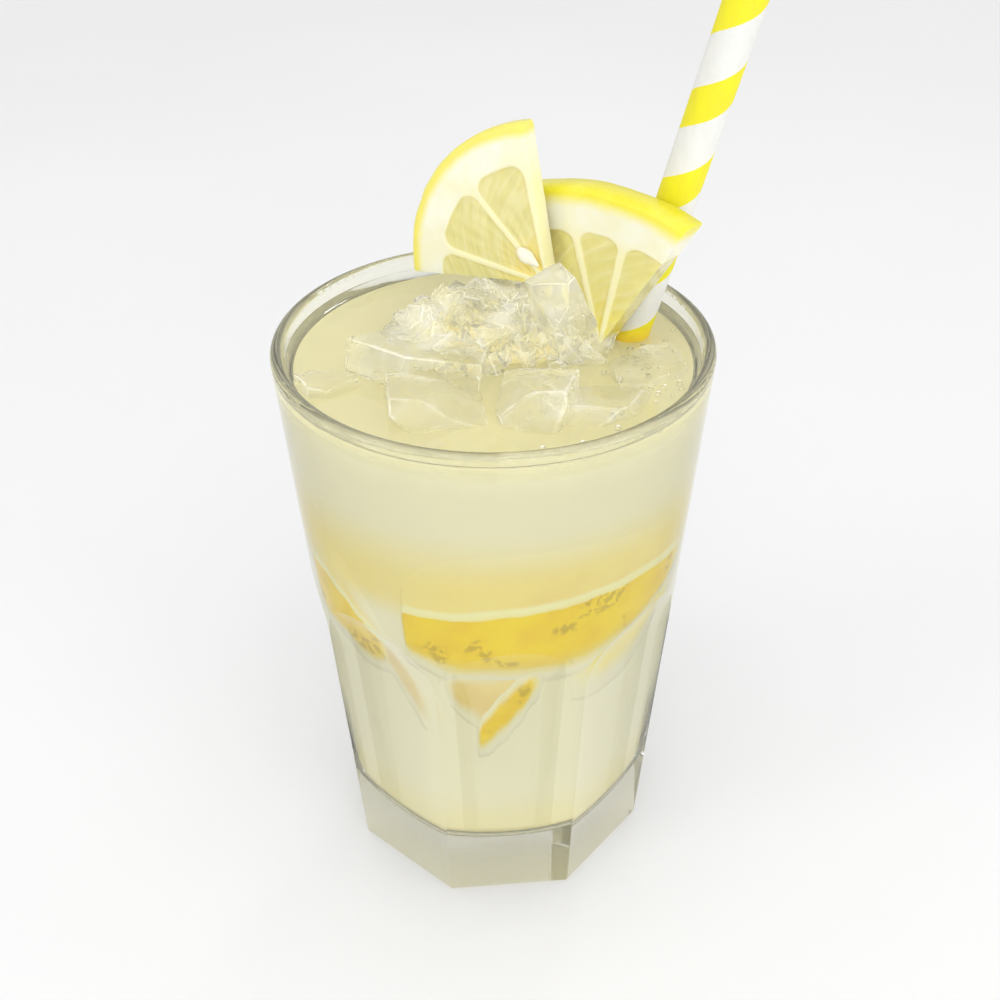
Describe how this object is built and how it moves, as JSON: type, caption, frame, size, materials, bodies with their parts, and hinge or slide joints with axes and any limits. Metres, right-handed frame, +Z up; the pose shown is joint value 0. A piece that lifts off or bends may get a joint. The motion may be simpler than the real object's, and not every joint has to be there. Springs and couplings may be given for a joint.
{
  "type": "glass of iced lemonade",
  "caption": "Faceted clear tumbler of cloudy lemonade with crushed ice, cut lemon slices and a striped paper straw.",
  "frame": {"origin": "middle of the tumbler's flat foot, on the surface it stands on", "axes": "+Z up the tumbler's axis, -Y towards the front with the two cut lemon faces, +X to the right where the straw leans"},
  "size_m": [0.0946, 0.0878, 0.2084],
  "materials": {
    "clear_glass": "clear pressed soda-lime glass, glossy, faintly green at its edges",
    "cloudy_lemonade": "cloudy pale yellow liquid with a wet gloss",
    "striped_paper": "wound matt paper with alternate yellow and white spiral bands",
    "lemon": "fresh cut lemon: pored yellow peel, white pith, wet translucent flesh",
    "ice": "wet clear ice with trapped bubbles and melted edges"
  },
  "bodies": {
    "root": {"glass": "clear_glass", "lemonade": "cloudy_lemonade", "straw": "striped_paper", "lemon_slice_left": "lemon", "lemon_slice_right": "lemon", "ice_heap": "ice", "ice_peak": "ice", "ice_plate": "ice", "ice_front_left": "ice", "ice_front_right": "ice", "ice_small": "ice"}
  },
  "joints": []
}
